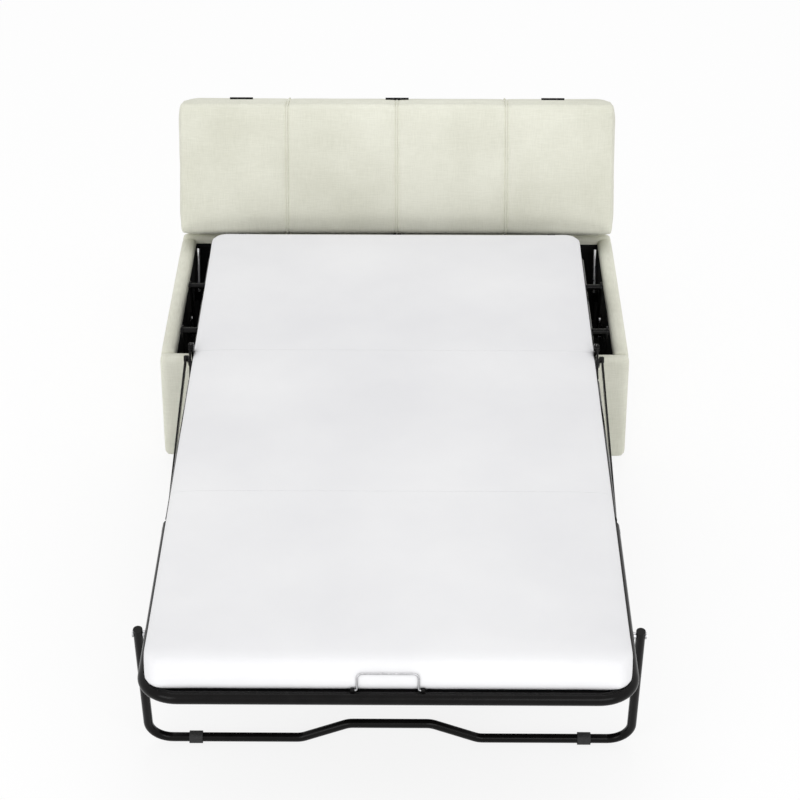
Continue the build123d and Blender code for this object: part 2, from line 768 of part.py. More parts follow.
# The origin: on the floor, under the middle of the whole bed as it stands open
whole = Compound([solid for shape in parts.values() for solid in shape.solids()]).bounding_box()
middle_y = (whole.min.Y + whole.max.Y) / 2
os.makedirs("parts", exist_ok=True)
for name, shape in parts.items():
    export_step(Pos(0, -middle_y, 0) * shape, f"parts/{name}.step")
print(f"{len(parts)} nodes, middle_y {middle_y:.3f}, lowest {whole.min.Z:.4f}")
print(f"size {whole.size.X:.1f} {whole.size.Y:.1f} {whole.size.Z:.1f}")
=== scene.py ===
import json
import math
import bmesh
import bpy
import numpy as np
from mathutils import Matrix, Vector
from mathutils.bvhtree import BVHTree


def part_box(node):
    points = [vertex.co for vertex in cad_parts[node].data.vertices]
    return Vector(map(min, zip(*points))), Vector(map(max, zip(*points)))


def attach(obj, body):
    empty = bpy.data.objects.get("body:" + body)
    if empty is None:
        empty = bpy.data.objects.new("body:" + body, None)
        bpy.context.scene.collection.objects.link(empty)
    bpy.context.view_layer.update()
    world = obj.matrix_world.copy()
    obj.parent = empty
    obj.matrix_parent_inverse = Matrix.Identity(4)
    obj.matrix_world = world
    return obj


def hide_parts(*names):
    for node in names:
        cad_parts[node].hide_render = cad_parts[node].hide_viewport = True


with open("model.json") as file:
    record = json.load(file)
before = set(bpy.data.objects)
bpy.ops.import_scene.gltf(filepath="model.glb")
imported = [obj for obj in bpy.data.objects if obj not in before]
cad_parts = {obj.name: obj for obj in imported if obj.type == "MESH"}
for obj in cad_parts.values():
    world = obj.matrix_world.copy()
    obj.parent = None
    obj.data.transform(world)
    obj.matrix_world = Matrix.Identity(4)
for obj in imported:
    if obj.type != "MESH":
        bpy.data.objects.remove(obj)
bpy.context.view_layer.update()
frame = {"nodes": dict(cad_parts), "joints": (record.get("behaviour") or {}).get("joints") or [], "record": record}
record = frame["record"]
scene = bpy.context.scene
scene.view_settings.view_transform = "Standard"


# Places taken from the frame
def joint_place(name):
    for joint in frame["joints"]:
        if joint["name"] == name:
            return Vector(joint["pos_m"])
    raise KeyError(name)


lid_axis = joint_place("lid_tilt")
mid_axis = joint_place("lid_unfold")
lid_up = (mid_axis - lid_axis).normalized()
lid_back = Vector((0, lid_up.z, -lid_up.y))


# Camera, fitted to the photograph's perspective
IMAGE_SIZE = 800
FOCAL_PIXELS = 2434
SENSOR_WIDTH = 36
CAMERA_SIDE = 0.0485
CAMERA_HEIGHT = 3.115
CAMERA_BEFORE_BOX = 5.0700
CAMERA_PITCH = 30.0
CAMERA_YAW = 0.4


def place_camera():
    data = bpy.data.cameras.new("photo_camera")
    data.sensor_width = SENSOR_WIDTH
    data.lens = FOCAL_PIXELS / IMAGE_SIZE * SENSOR_WIDTH
    camera = bpy.data.objects.new("photo_camera", data)
    box_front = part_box("front_wall_cover")[0].y
    camera.location = (CAMERA_SIDE, box_front - CAMERA_BEFORE_BOX, CAMERA_HEIGHT)
    camera.rotation_euler = (math.radians(90 - CAMERA_PITCH), 0, math.radians(CAMERA_YAW))
    scene.collection.objects.link(camera)
    scene.camera = camera


# Node groups shared by the materials
THREAD_WANDER = 1.2
SLUBS_ACROSS = (40, 40, 620)
SLUBS_ALONG = (620, 40, 40)


def new_group(name, inputs, outputs):
    tree = bpy.data.node_groups.new(name, "ShaderNodeTree")
    for label, kind, value in inputs:
        socket = tree.interface.new_socket(label, in_out="INPUT", socket_type=kind)
        socket.default_value = value
    for label, kind in outputs:
        tree.interface.new_socket(label, in_out="OUTPUT", socket_type=kind)
    return tree, tree.nodes.new("NodeGroupInput"), tree.nodes.new("NodeGroupOutput")


def add_node(tree, kind, **values):
    node = tree.nodes.new(kind)
    for key, value in values.items():
        setattr(node, key, value)
    return node


def math_node(tree, operation, first, second):
    node = add_node(tree, "ShaderNodeMath", operation=operation)
    for socket, value in zip(node.inputs, (first, second)):
        if isinstance(value, (int, float)):
            socket.default_value = value
        else:
            tree.links.new(value, socket)
    return node.outputs[0]


def stretched_noise(tree, coordinates, stretch, scale, detail):
    mapping = add_node(tree, "ShaderNodeMapping")
    mapping.inputs["Scale"].default_value = stretch
    tree.links.new(coordinates, mapping.inputs["Vector"])
    noise = add_node(tree, "ShaderNodeTexNoise")
    noise.inputs["Scale"].default_value = scale
    noise.inputs["Detail"].default_value = detail
    tree.links.new(mapping.outputs["Vector"], noise.inputs["Vector"])
    return noise.outputs["Fac"]


def weave_group():
    """Threads both ways with slubs: a height and a tint that change over the cloth."""
    tree, source, result = new_group(
        "woven_threads",
        [("Thread", "NodeSocketFloat", 700.0), ("Slub", "NodeSocketFloat", 0.5)],
        [("Height", "NodeSocketFloat"), ("Tint", "NodeSocketFloat")])
    place = add_node(tree, "ShaderNodeTexCoord").outputs["Object"]
    waves = []
    for direction in ("X", "Z"):
        wave = add_node(tree, "ShaderNodeTexWave", bands_direction=direction)
        wave.inputs["Distortion"].default_value = THREAD_WANDER
        wave.inputs["Detail"].default_value = 2.0
        wave.inputs["Detail Scale"].default_value = 2.0
        tree.links.new(source.outputs["Thread"], wave.inputs["Scale"])
        tree.links.new(place, wave.inputs["Vector"])
        waves.append(wave.outputs["Fac"])
    across = stretched_noise(tree, place, SLUBS_ACROSS, 1.0, 3.0)
    along = stretched_noise(tree, place, SLUBS_ALONG, 1.0, 3.0)
    threads = math_node(tree, "MULTIPLY", math_node(tree, "ADD", *waves), 0.5)
    slubs = math_node(tree, "MULTIPLY", math_node(tree, "ADD", across, along), source.outputs["Slub"])
    height = math_node(tree, "ADD", threads, slubs)
    tree.links.new(height, result.inputs["Height"])
    tree.links.new(slubs, result.inputs["Tint"])
    return tree


def soil_group():
    """Broad, faint unevenness of a dyed or painted surface."""
    tree, source, result = new_group(
        "broad_variation", [("Size", "NodeSocketFloat", 6.0)], [("Mask", "NodeSocketFloat")])
    place = add_node(tree, "ShaderNodeTexCoord").outputs["Object"]
    noise = add_node(tree, "ShaderNodeTexNoise")
    noise.inputs["Detail"].default_value = 4.0
    tree.links.new(source.outputs["Size"], noise.inputs["Scale"])
    tree.links.new(place, noise.inputs["Vector"])
    tree.links.new(noise.outputs["Fac"], result.inputs["Mask"])
    return tree


WEAVE = weave_group()
VARIATION = soil_group()


def use_group(tree, group, **values):
    node = add_node(tree, "ShaderNodeGroup", node_tree=group)
    for label, value in values.items():
        node.inputs[label].default_value = value
    return node


def linear(red, green, blue):
    """A display colour, 0 to 255, as a linear one."""
    channels = []
    for value in (red, green, blue):
        share = value / 255
        channels.append(share / 12.92 if share <= 0.04045 else ((share + 0.055) / 1.055) ** 2.4)
    return (*channels, 1.0)


def new_material(name, roughness):
    material = bpy.data.materials.new(name)
    material.use_nodes = True
    shader = material.node_tree.nodes["Principled BSDF"]
    shader.inputs["Roughness"].default_value = roughness
    return material, material.node_tree, shader


def blend_colours(tree, mask, low, high, dark, light):
    """A colour ramp between two colours, driven by a mask."""
    ramp = add_node(tree, "ShaderNodeValToRGB")
    ramp.color_ramp.elements[0].position = low
    ramp.color_ramp.elements[0].color = dark
    ramp.color_ramp.elements[1].position = high
    ramp.color_ramp.elements[1].color = light
    tree.links.new(mask, ramp.inputs["Fac"])
    return ramp.outputs["Color"]


def add_bump(tree, shader, height, strength, distance):
    bump = add_node(tree, "ShaderNodeBump")
    bump.inputs["Strength"].default_value = strength
    bump.inputs["Distance"].default_value = distance
    tree.links.new(height, bump.inputs["Height"])
    tree.links.new(bump.outputs["Normal"], shader.inputs["Normal"])


def cream_weave(name, dark, light):
    material, tree, shader = new_material(name, 0.92)
    weave = use_group(tree, WEAVE, Thread=420.0, Slub=0.5)
    broad = use_group(tree, VARIATION, Size=5.0)
    both = math_node(tree, "ADD", weave.outputs["Tint"], broad.outputs["Mask"])
    mask = math_node(tree, "MULTIPLY", both, 0.5)
    colour = blend_colours(tree, mask, 0.36, 0.64, dark, light)
    tree.links.new(colour, shader.inputs["Base Color"])
    shader.inputs["Sheen Weight"].default_value = 0.15
    shader.inputs["Sheen Roughness"].default_value = 0.6
    shader.inputs["Specular IOR Level"].default_value = 0.2
    add_bump(tree, shader, weave.outputs["Height"], 0.35, 0.0006)
    return material


def mattress_knit():
    material, tree, shader = new_material("white_ticking", 0.88)
    weave = use_group(tree, WEAVE, Thread=900.0, Slub=0.25)
    broad = use_group(tree, VARIATION, Size=3.0)
    colour = blend_colours(
        tree, broad.outputs["Mask"], 0.3, 0.7, linear(226, 226, 228), linear(234, 234, 235))
    tree.links.new(colour, shader.inputs["Base Color"])
    shader.inputs["Specular IOR Level"].default_value = 0.2
    shader.inputs["Sheen Weight"].default_value = 0.08
    add_bump(tree, shader, weave.outputs["Height"], 0.15, 0.0003)
    return material


def black_paint():
    material, tree, shader = new_material("black_steel", 0.2)
    broad = use_group(tree, VARIATION, Size=40.0)
    colour = blend_colours(tree, broad.outputs["Mask"], 0.3, 0.7, linear(9, 8, 8), linear(15, 14, 14))
    tree.links.new(colour, shader.inputs["Base Color"])
    rough = math_node(tree, "MULTIPLY_ADD", broad.outputs["Mask"], 0.12)
    rough.node.inputs[2].default_value = 0.16
    tree.links.new(rough, shader.inputs["Roughness"])
    shader.inputs["Specular IOR Level"].default_value = 0.12
    add_bump(tree, shader, broad.outputs["Mask"], 0.03, 0.0005)
    return material


def bright_zinc():
    material, tree, shader = new_material("bright_steel", 0.3)
    broad = use_group(tree, VARIATION, Size=90.0)
    colour = blend_colours(
        tree, broad.outputs["Mask"], 0.3, 0.7, linear(168, 168, 170), linear(206, 206, 208))
    tree.links.new(colour, shader.inputs["Base Color"])
    shader.inputs["Metallic"].default_value = 1.0
    rough = math_node(tree, "MULTIPLY_ADD", broad.outputs["Mask"], 0.2)
    rough.node.inputs[2].default_value = 0.2
    tree.links.new(rough, shader.inputs["Roughness"])
    return material


def black_fleece():
    material, tree, shader = new_material("black_cloth", 0.95)
    weave = use_group(tree, WEAVE, Thread=600.0, Slub=0.5)
    colour = blend_colours(tree, weave.outputs["Tint"], 0.35, 0.65, linear(14, 14, 15), linear(30, 29, 30))
    tree.links.new(colour, shader.inputs["Base Color"])
    shader.inputs["Specular IOR Level"].default_value = 0.15
    add_bump(tree, shader, weave.outputs["Height"], 0.3, 0.0004)
    return material


GRAIN_STRETCH = (3, 40, 40)


def raw_plywood():
    material, tree, shader = new_material("plywood", 0.7)
    place = add_node(tree, "ShaderNodeTexCoord").outputs["Object"]
    grain = stretched_noise(tree, place, GRAIN_STRETCH, 4.0, 6.0)
    colour = blend_colours(tree, grain, 0.35, 0.65, linear(176, 142, 100), linear(214, 184, 140))
    tree.links.new(colour, shader.inputs["Base Color"])
    add_bump(tree, shader, grain, 0.1, 0.0005)
    return material


def dark_moulding(name, roughness):
    material, tree, shader = new_material(name, roughness)
    broad = use_group(tree, VARIATION, Size=150.0)
    colour = blend_colours(tree, broad.outputs["Mask"], 0.3, 0.7, linear(22, 22, 23), linear(36, 36, 37))
    tree.links.new(colour, shader.inputs["Base Color"])
    add_bump(tree, shader, broad.outputs["Mask"], 0.12, 0.0004)
    return material


MATERIALS = {
    "cream_fabric": cream_weave("cream_fabric", linear(214, 214, 198), linear(234, 234, 220)),
    "white_ticking": mattress_knit(),
    "black_steel": black_paint(),
    "bright_steel": bright_zinc(),
    "black_cloth": black_fleece(),
    "plywood": raw_plywood(),
    "black_rubber": dark_moulding("black_rubber", 0.7),
    "black_plastic": dark_moulding("black_plastic", 0.5),
}


def dress_cad_nodes():
    """Every carried-over CAD node takes the material of its slot in the record."""
    for entry in record["subparts"]:
        piece = frame["nodes"][entry["node"]]
        piece.data.materials.clear()
        piece.data.materials.append(MATERIALS[entry["material_slot"]])


# Modelling helpers
NEAR_FACE = 0.001
SAME_PLACE = 1e-4


def start_cube(name, low, high):
    bpy.ops.object.select_all(action="DESELECT")
    middle = [(a + b) / 2 for a, b in zip(low, high)]
    size = [b - a for a, b in zip(low, high)]
    bpy.ops.mesh.primitive_cube_add(size=1, location=middle, scale=size)
    piece = bpy.context.active_object
    piece.name = name
    bpy.ops.object.transform_apply(location=True, rotation=True, scale=True)
    return piece


def select_only(piece):
    bpy.ops.object.select_all(action="DESELECT")
    piece.select_set(True)
    bpy.context.view_layer.objects.active = piece


def bevel_edges(piece, test, width, segments):
    """Bevels, in edit mode, the edges whose direction and middle pass the test."""
    select_only(piece)
    bpy.ops.object.mode_set(mode="EDIT")
    bpy.ops.mesh.select_mode(type="EDGE")
    bpy.ops.mesh.select_all(action="DESELECT")
    mesh = bmesh.from_edit_mesh(piece.data)
    for edge in mesh.edges:
        run = (edge.verts[1].co - edge.verts[0].co).normalized()
        middle = (edge.verts[1].co + edge.verts[0].co) / 2
        edge.select = bool(test(run, middle))
    mesh.select_flush_mode()
    bmesh.update_edit_mesh(piece.data)
    bpy.ops.mesh.bevel(offset=width, segments=segments, profile=0.5, affect="EDGES", clamp_overlap=True)
    bpy.ops.object.mode_set(mode="OBJECT")


def apply_modifier(piece, kind, name, **values):
    modifier = piece.modifiers.new(name, kind)
    for key, value in values.items():
        setattr(modifier, key, value)
    select_only(piece)
    bpy.ops.object.modifier_apply(modifier=name)


def smooth_faces(piece, angle=40):
    select_only(piece)
    bpy.ops.object.shade_smooth_by_angle(angle=math.radians(angle))


def read_points(mesh):
    points = np.empty(len(mesh.vertices) * 3)
    mesh.vertices.foreach_get("co", points)
    return points.reshape(-1, 3)


def write_points(mesh, points):
    mesh.vertices.foreach_set("co", points.ravel())
    mesh.update()


CLOTH_QUALITY = 4
CLOTH_MASS = 0.3
CLOTH_STIFFNESS = 12
CLOTH_STEPS = 20


def inflate(piece, voxel, pressure, cap, pinned=None):
    """Remeshes a cushion's rough shape and puffs it up as cloth, moving no point further than cap."""
    apply_modifier(piece, "REMESH", "even_mesh", mode="VOXEL", voxel_size=voxel)
    before = read_points(piece.data)
    cloth = piece.modifiers.new("stuffing", "CLOTH")
    cloth.settings.use_pressure = True
    cloth.settings.uniform_pressure_force = pressure
    cloth.settings.quality = CLOTH_QUALITY
    cloth.settings.mass = CLOTH_MASS
    cloth.settings.tension_stiffness = CLOTH_STIFFNESS
    cloth.settings.compression_stiffness = CLOTH_STIFFNESS
    cloth.settings.effector_weights.gravity = 0
    cloth.collision_settings.use_collision = False
    if pinned is not None:
        group = piece.vertex_groups.new(name="held")
        group.add([int(index) for index in np.nonzero(pinned(before))[0]], 1.0, "ADD")
        cloth.settings.vertex_group_mass = "held"
    for step in range(1, CLOTH_STEPS + 1):
        scene.frame_set(step)
    posed = piece.evaluated_get(bpy.context.evaluated_depsgraph_get())
    after = read_points(posed.data)
    piece.modifiers.remove(cloth)
    scene.frame_set(1)
    move = after - before
    length = np.linalg.norm(move, axis=1, keepdims=True)
    move *= np.minimum(1.0, cap / np.maximum(length, 1e-9))
    write_points(piece.data, before + move)


def fit_to(piece, low, high):
    """Brings a puffed-up piece back to its outline, by scaling it evenly along each axis."""
    points = read_points(piece.data)
    was_low = points.min(axis=0)
    was_high = points.max(axis=0)
    low = np.array(low)
    high = np.array(high)
    points = low + (points - was_low) / (was_high - was_low) * (high - low)
    write_points(piece.data, points)


def finish_piece(piece, body, slot, *nodes):
    piece.data.materials.clear()
    piece.data.materials.append(MATERIALS[slot])
    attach(piece, body)
    if nodes:
        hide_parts(*nodes)


# Mattress: one cushion, puffed up whole and then cut at the two fold lines
MATTRESS_START_INSET = 0.002
MATTRESS_CORNER = 0.034
MATTRESS_EDGE = 0.010
MATTRESS_BULGE = 0.004
MATTRESS_CAP = 0.004
MATTRESS_VOXEL = 0.011
MATTRESS_PRESSURE = 3.0
FOLD_GAP = 0.0005
RAIL_TOP = 0.364
FOOT_SWELL = 0.019
FOOT_SWELL_LOW = 0.011
FOOT_SWELL_REACH = 0.06
FOOT_SWELL_DEPTH = 0.04


def lean_on_rail(piece, end, top):
    """Lets the foot end swell out low down, over the top of the rail, where it is heaviest."""
    points = read_points(piece.data)
    close = np.clip((end + FOOT_SWELL_REACH - points[:, 1]) / FOOT_SWELL_REACH, 0, 1)
    depth = np.clip((top - points[:, 2]) / FOOT_SWELL_DEPTH, 0, 1)
    swell = np.where(points[:, 2] > RAIL_TOP, FOOT_SWELL * depth, FOOT_SWELL_LOW)
    points[:, 1] -= close * swell
    write_points(piece.data, points)


def whole_mattress():
    low, high = [Vector(corner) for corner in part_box("foot_mattress")]
    head_low, head_high = [Vector(corner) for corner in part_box("head_mattress")]
    inset = MATTRESS_START_INSET
    low = Vector((low.x + inset, low.y + inset, low.z))
    high = Vector((head_high.x - inset, head_high.y - inset, head_high.z - inset))
    piece = start_cube("mattress_whole", low, high)
    bevel_edges(piece, lambda run, middle: abs(run.z) > 0.9, MATTRESS_CORNER, 6)
    top = high.z - NEAR_FACE
    bottom = low.z + NEAR_FACE
    bevel_edges(piece, lambda run, middle: abs(run.z) < 0.1 and middle.z > top, MATTRESS_EDGE, 5)
    bevel_edges(piece, lambda run, middle: abs(run.z) < 0.1 and middle.z < bottom, MATTRESS_EDGE * 0.6, 4)
    inflate(piece, MATTRESS_VOXEL, MATTRESS_PRESSURE, MATTRESS_CAP)
    points = read_points(piece.data)
    points[:, 2] = np.maximum(points[:, 2], low.z)
    write_points(piece.data, points)
    reach = inset + MATTRESS_BULGE
    fit_to(piece, (low.x - reach, low.y - inset, low.z), (high.x + reach, high.y + inset, high.z + inset))
    lean_on_rail(piece, low.y, high.z)
    apply_modifier(piece, "SUBSURF", "smooth_skin", levels=1, render_levels=1)
    smooth_faces(piece, 80)
    return piece


def cut_piece(source, name, cuts):
    """A copy of source with the far side of each plane cut away and closed."""
    piece = source.copy()
    piece.data = source.data.copy()
    piece.name = name
    scene.collection.objects.link(piece)
    for place, normal in cuts:
        select_only(piece)
        bpy.ops.object.mode_set(mode="EDIT")
        bpy.ops.mesh.select_all(action="SELECT")
        bpy.ops.mesh.bisect(plane_co=place, plane_no=normal, use_fill=True, clear_outer=True)
        bpy.ops.object.mode_set(mode="OBJECT")
    smooth_faces(piece, 60)
    return piece


def mattress():
    whole = whole_mattress()
    foot_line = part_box("middle_mattress")[0][1]
    head_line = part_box("head_mattress")[0][1]
    parts = (("foot", [((0, foot_line - FOLD_GAP, 0), (0, 1, 0))]),
             ("middle", [((0, foot_line, 0), (0, -1, 0)), ((0, head_line - FOLD_GAP, 0), (0, 1, 0))]),
             ("head", [((0, head_line, 0), (0, -1, 0))]))
    for name, cuts in parts:
        piece = cut_piece(whole, name + "_mattress_cover", cuts)
        finish_piece(piece, name + "_section", "white_ticking", name + "_mattress")
    bpy.data.objects.remove(whole)


# Lid: each half is made lying flat and then stood up on its hinge line
LID_START_INSET = 0.002
LID_CORNER = 0.010
LID_EDGE = 0.009
LID_CAP = 0.003
SEAM_DEPTH = 0.0048
SEAM_REACH = 0.009
SEAM_END_REACH = 0.03
SEAM_END_SHARE = 0.7
PIPING_RADIUS = 0.0024
PIPING_RISE = 0.0019
PIPING_END_ANGLE = 0.12
PIPING_POINTS = 120
LID_VOXEL = 0.0076
LID_PRESSURE = 2.0
LID_HELD_LAYER = 0.004
SEAM_FALL = 2.2
HOLLOW_DEPTH_SHARE = 0.25
HOLLOW_REACH = 0.03
SEAM_START = 0.006
SEAM_FADE = 0.02

BOARD_INSET = 0.018
BOARD_LAYER = 0.002
BOARD_RECESS = 0.003
END_LENGTH = 0.06
FRONT_SWELL = (0.004, 0.009)
REAR_SWELL = (0.0, 0.005)


def lid_size():
    """Width, length and thickness of a padded half, from the CAD node turned back flat."""
    node = frame["nodes"]["lid_front_pad"]
    points = read_points(node.data)
    away = points - np.array(mid_axis)
    down = -(away @ np.array(lid_up))
    out = -(away @ np.array(lid_back))
    return points[:, 0].max(), down.min(), down.max(), out.min(), out.max()


def lid_seams(half_width):
    return [half_width * share for share in (-0.5, 0.0, 0.5)]


def flat_lid_pad():
    half, near, far, under, top = lid_size()
    inset = LID_START_INSET
    piece = start_cube("lid_pad_flat", (-half + inset, near + inset * 0.5, under),
                       (half - inset, far - inset * 0.5, top - inset))
    bevel_edges(piece, lambda run, middle: abs(run.z) > 0.9, LID_CORNER, 6)
    ceiling = top - inset - NEAR_FACE
    floor = under + NEAR_FACE
    bevel_edges(piece, lambda run, middle: abs(run.z) < 0.1 and middle.z > ceiling, LID_EDGE, 6)
    bevel_edges(piece, lambda run, middle: abs(run.z) < 0.1 and middle.z < floor, LID_EDGE * 0.3, 3)
    inflate(piece, LID_VOXEL, LID_PRESSURE, LID_CAP,
            pinned=lambda points: points[:, 2] < under + LID_HELD_LAYER)
    fit_to(piece, (-half, near, under), (half, far, top))
    apply_modifier(piece, "SUBSURF", "smooth_skin", levels=1, render_levels=1)
    points = read_points(piece.data)
    centre = np.array([0, (near + far) / 2, (under + top) * 0.35])
    for seam in lid_seams(half):
        away = np.abs(points[:, 0] - seam)
        groove = np.exp(-(away / SEAM_REACH) ** 2 * SEAM_FALL)
        hollow = HOLLOW_DEPTH_SHARE * np.exp(-(away / HOLLOW_REACH) ** 2)
        pull = SEAM_DEPTH * (groove + hollow)
        inward = centre - points
        inward[:, 0] = 0
        inward /= np.maximum(np.linalg.norm(inward, axis=1, keepdims=True), 1e-9)
        soft = np.clip((points[:, 2] - under - SEAM_START) / SEAM_FADE, 0, 1)
        at_end = np.clip(1 - (far - points[:, 1]) / SEAM_END_REACH, 0, 1)
        points += inward * (pull * soft * (1 - SEAM_END_SHARE * at_end))[:, None]
    board_side = points[:, 2] < under + BOARD_LAYER
    for axis, low, high in ((0, -half, half), (1, near, far)):
        board_side &= (points[:, axis] > low + BOARD_INSET) & (points[:, axis] < high - BOARD_INSET)
    points[board_side, 2] += BOARD_RECESS
    write_points(piece.data, points)
    smooth_faces(piece, 80)
    return piece


def seam_line(piece, seam):
    """Points along the bottom of a sewn channel, from one long edge over the face to the other."""
    skin = BVHTree.FromObject(piece, bpy.context.evaluated_depsgraph_get())
    points = read_points(piece.data)
    centre = Vector((seam, (points[:, 1].min() + points[:, 1].max()) / 2, points[:, 2].min()))
    line = []
    angles = np.linspace(PIPING_END_ANGLE, math.pi - PIPING_END_ANGLE, PIPING_POINTS)
    for step in angles:
        out = Vector((0, math.cos(step), math.sin(step)))
        place, normal, face, distance = skin.ray_cast(centre + out, -out)
        normal.x = 0
        line.append(place + normal.normalized() * PIPING_RISE)
    return line


def lid_piping(piece, half):
    strands = []
    for seam in lid_seams(half):
        curve = bpy.data.curves.new("piping_line", "CURVE")
        curve.dimensions = "3D"
        line = seam_line(piece, seam)
        spline = curve.splines.new("NURBS")
        spline.points.add(len(line) - 1)
        for point, place in zip(spline.points, line):
            point.co = (*place, 1.0)
        spline.order_u = 3
        spline.use_endpoint_u = True
        curve.bevel_depth = PIPING_RADIUS
        curve.bevel_resolution = 3
        curve.use_fill_caps = True
        strand = bpy.data.objects.new("piping_strand", curve)
        scene.collection.objects.link(strand)
        select_only(strand)
        bpy.ops.object.convert(target="MESH")
        strands.append(bpy.context.active_object)
    bpy.ops.object.select_all(action="DESELECT")
    for strand in strands:
        strand.select_set(True)
    bpy.context.view_layer.objects.active = strands[0]
    bpy.ops.object.join()
    joined = bpy.context.active_object
    smooth_faces(joined, 80)
    return joined


def fill_ends(piece, near_reach, far_reach):
    """Lets the ends of a half made flat swell towards its hinge line and its free edge."""
    points = read_points(piece.data)
    near = points[:, 1].min()
    far = points[:, 1].max()
    at_near = np.clip(1 - (points[:, 1] - near) / END_LENGTH, 0, 1)
    at_far = np.clip(1 - (far - points[:, 1]) / END_LENGTH, 0, 1)
    points[:, 1] += at_far * far_reach - at_near * near_reach
    write_points(piece.data, points)


def stand_up(piece, origin, along, outward):
    """Moves a piece made flat, with Y along the half and Z out of its padded face, into its place."""
    side = along.cross(outward)
    turn = Matrix((side, along, outward)).transposed().to_4x4()
    piece.data.transform(Matrix.Translation(origin) @ turn)
    piece.data.update()


def copy_piece(source, name):
    piece = source.copy()
    piece.data = source.data.copy()
    piece.name = name
    scene.collection.objects.link(piece)
    return piece


def lid():
    flat = flat_lid_pad()
    piping = lid_piping(flat, lid_size()[0])
    places = (("lid_front", mid_axis, -lid_up, -lid_back, FRONT_SWELL),
              ("lid_rear", lid_axis, lid_up, lid_back, REAR_SWELL))
    for name, origin, along, outward, swell in places:
        pad = copy_piece(flat, name + "_cushion")
        fill_ends(pad, *swell)
        stand_up(pad, origin, along, outward)
        finish_piece(pad, name, "cream_fabric", name + "_pad")
        cord = copy_piece(piping, name + "_piping_cord")
        fill_ends(cord, *swell)
        stand_up(cord, origin, along, outward)
        finish_piece(cord, name, "cream_fabric", name + "_piping")
    bpy.data.objects.remove(flat)
    bpy.data.objects.remove(piping)


# Upholstered walls of the box
WALL_EDGE = 0.011
WALL_PUFF = 0.003
WALL_CORNER = 0.015
WALL_VOXEL = 0.006


def wall_cover(node, corner, outward):
    """A padded wall: rounded edges and a face that swells a little between them."""
    low, high = [Vector(place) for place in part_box(node)]
    piece = start_cube(node + "_padding", low, high)
    if corner:
        centre = (low + high).dot(outward) / 2
        bevel_edges(piece, lambda run, middle: abs(run.z) > 0.9 and middle.dot(outward) > centre,
                    corner, 5)
    bevel_edges(piece, lambda run, middle: abs(run.z) < 0.1 and
                (abs(middle.z - low.z) < SAME_PLACE or abs(middle.z - high.z) < SAME_PLACE), WALL_EDGE, 4)
    apply_modifier(piece, "REMESH", "even_mesh", mode="VOXEL", voxel_size=WALL_VOXEL)
    apply_modifier(piece, "SMOOTH", "soften", iterations=3, factor=0.5)
    points = read_points(piece.data)
    size = high - low
    share_z = np.clip((points[:, 2] - low.z) / size.z, 0, 1)
    axis = 0 if size.x > size.y else 1
    share_run = np.clip((points[:, axis] - low[axis]) / size[axis], 0, 1)
    swell = np.sin(share_z * math.pi) ** 0.6 * np.sin(share_run * math.pi) ** 0.3
    face = (points - np.array((low + high) / 2)) @ np.array(outward) > 0
    points += np.outer(swell * face * WALL_PUFF, np.array(outward))
    write_points(piece.data, points)
    smooth_faces(piece, 60)
    finish_piece(piece, "box", "cream_fabric", node)


def box_walls():
    wall_cover("front_wall_cover", WALL_CORNER, Vector((0, -1, 0)))
    wall_cover("rear_wall_cover", WALL_CORNER, Vector((0, 1, 0)))
    wall_cover("side_wall_cover_left", 0, Vector((-1, 0, 0)))
    wall_cover("side_wall_cover_right", 0, Vector((1, 0, 0)))


# Cloth: the slings that the mattress lies on, the lining of the box and the dust sheet under it
SLING_THICKNESS = 0.0012
SLING_HEM = 0.022
HEM_DROP = 0.0006
DUST_SHEET_THICKNESS = 0.0008
DUST_SHEET_BELOW_TOP = 0.0006
DUST_SHEET_SAG = 0.003
SAG_POWER = 0.7
LINING_THICKNESS = 0.0009
LINING_RIPPLE = 0.0002
RIPPLES_PER_METRE = (31, 37, 45)


def give_thickness(piece, thickness, offset):
    apply_modifier(piece, "SOLIDIFY", "cloth_thickness", thickness=thickness, offset=offset)


def sling(node, body):
    """A flat sling stretched between the rails, with a hem folded under along its edges."""
    low, high = [Vector(place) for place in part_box(node)]
    size = high - low
    bpy.ops.object.select_all(action="DESELECT")
    bpy.ops.mesh.primitive_grid_add(x_subdivisions=24, y_subdivisions=16, size=1, location=(low + high) / 2)
    piece = bpy.context.active_object
    piece.name = node + "_cloth"
    piece.scale = (size.x, size.y, 1)
    bpy.ops.object.transform_apply(location=True, rotation=True, scale=True)
    points = read_points(piece.data)
    edge = np.minimum(np.minimum(points[:, 0] - low.x, high.x - points[:, 0]),
                      np.minimum(points[:, 1] - low.y, high.y - points[:, 1]))
    points[:, 2] -= HEM_DROP * np.clip(1 - edge / SLING_HEM, 0, 1)
    write_points(piece.data, points)
    give_thickness(piece, SLING_THICKNESS, 0)
    smooth_faces(piece)
    finish_piece(piece, body, "black_cloth", node)


def slings():
    sling("head_deck", "head_section")
    sling("middle_deck", "middle_section")
    sling("foot_deck", "foot_section")


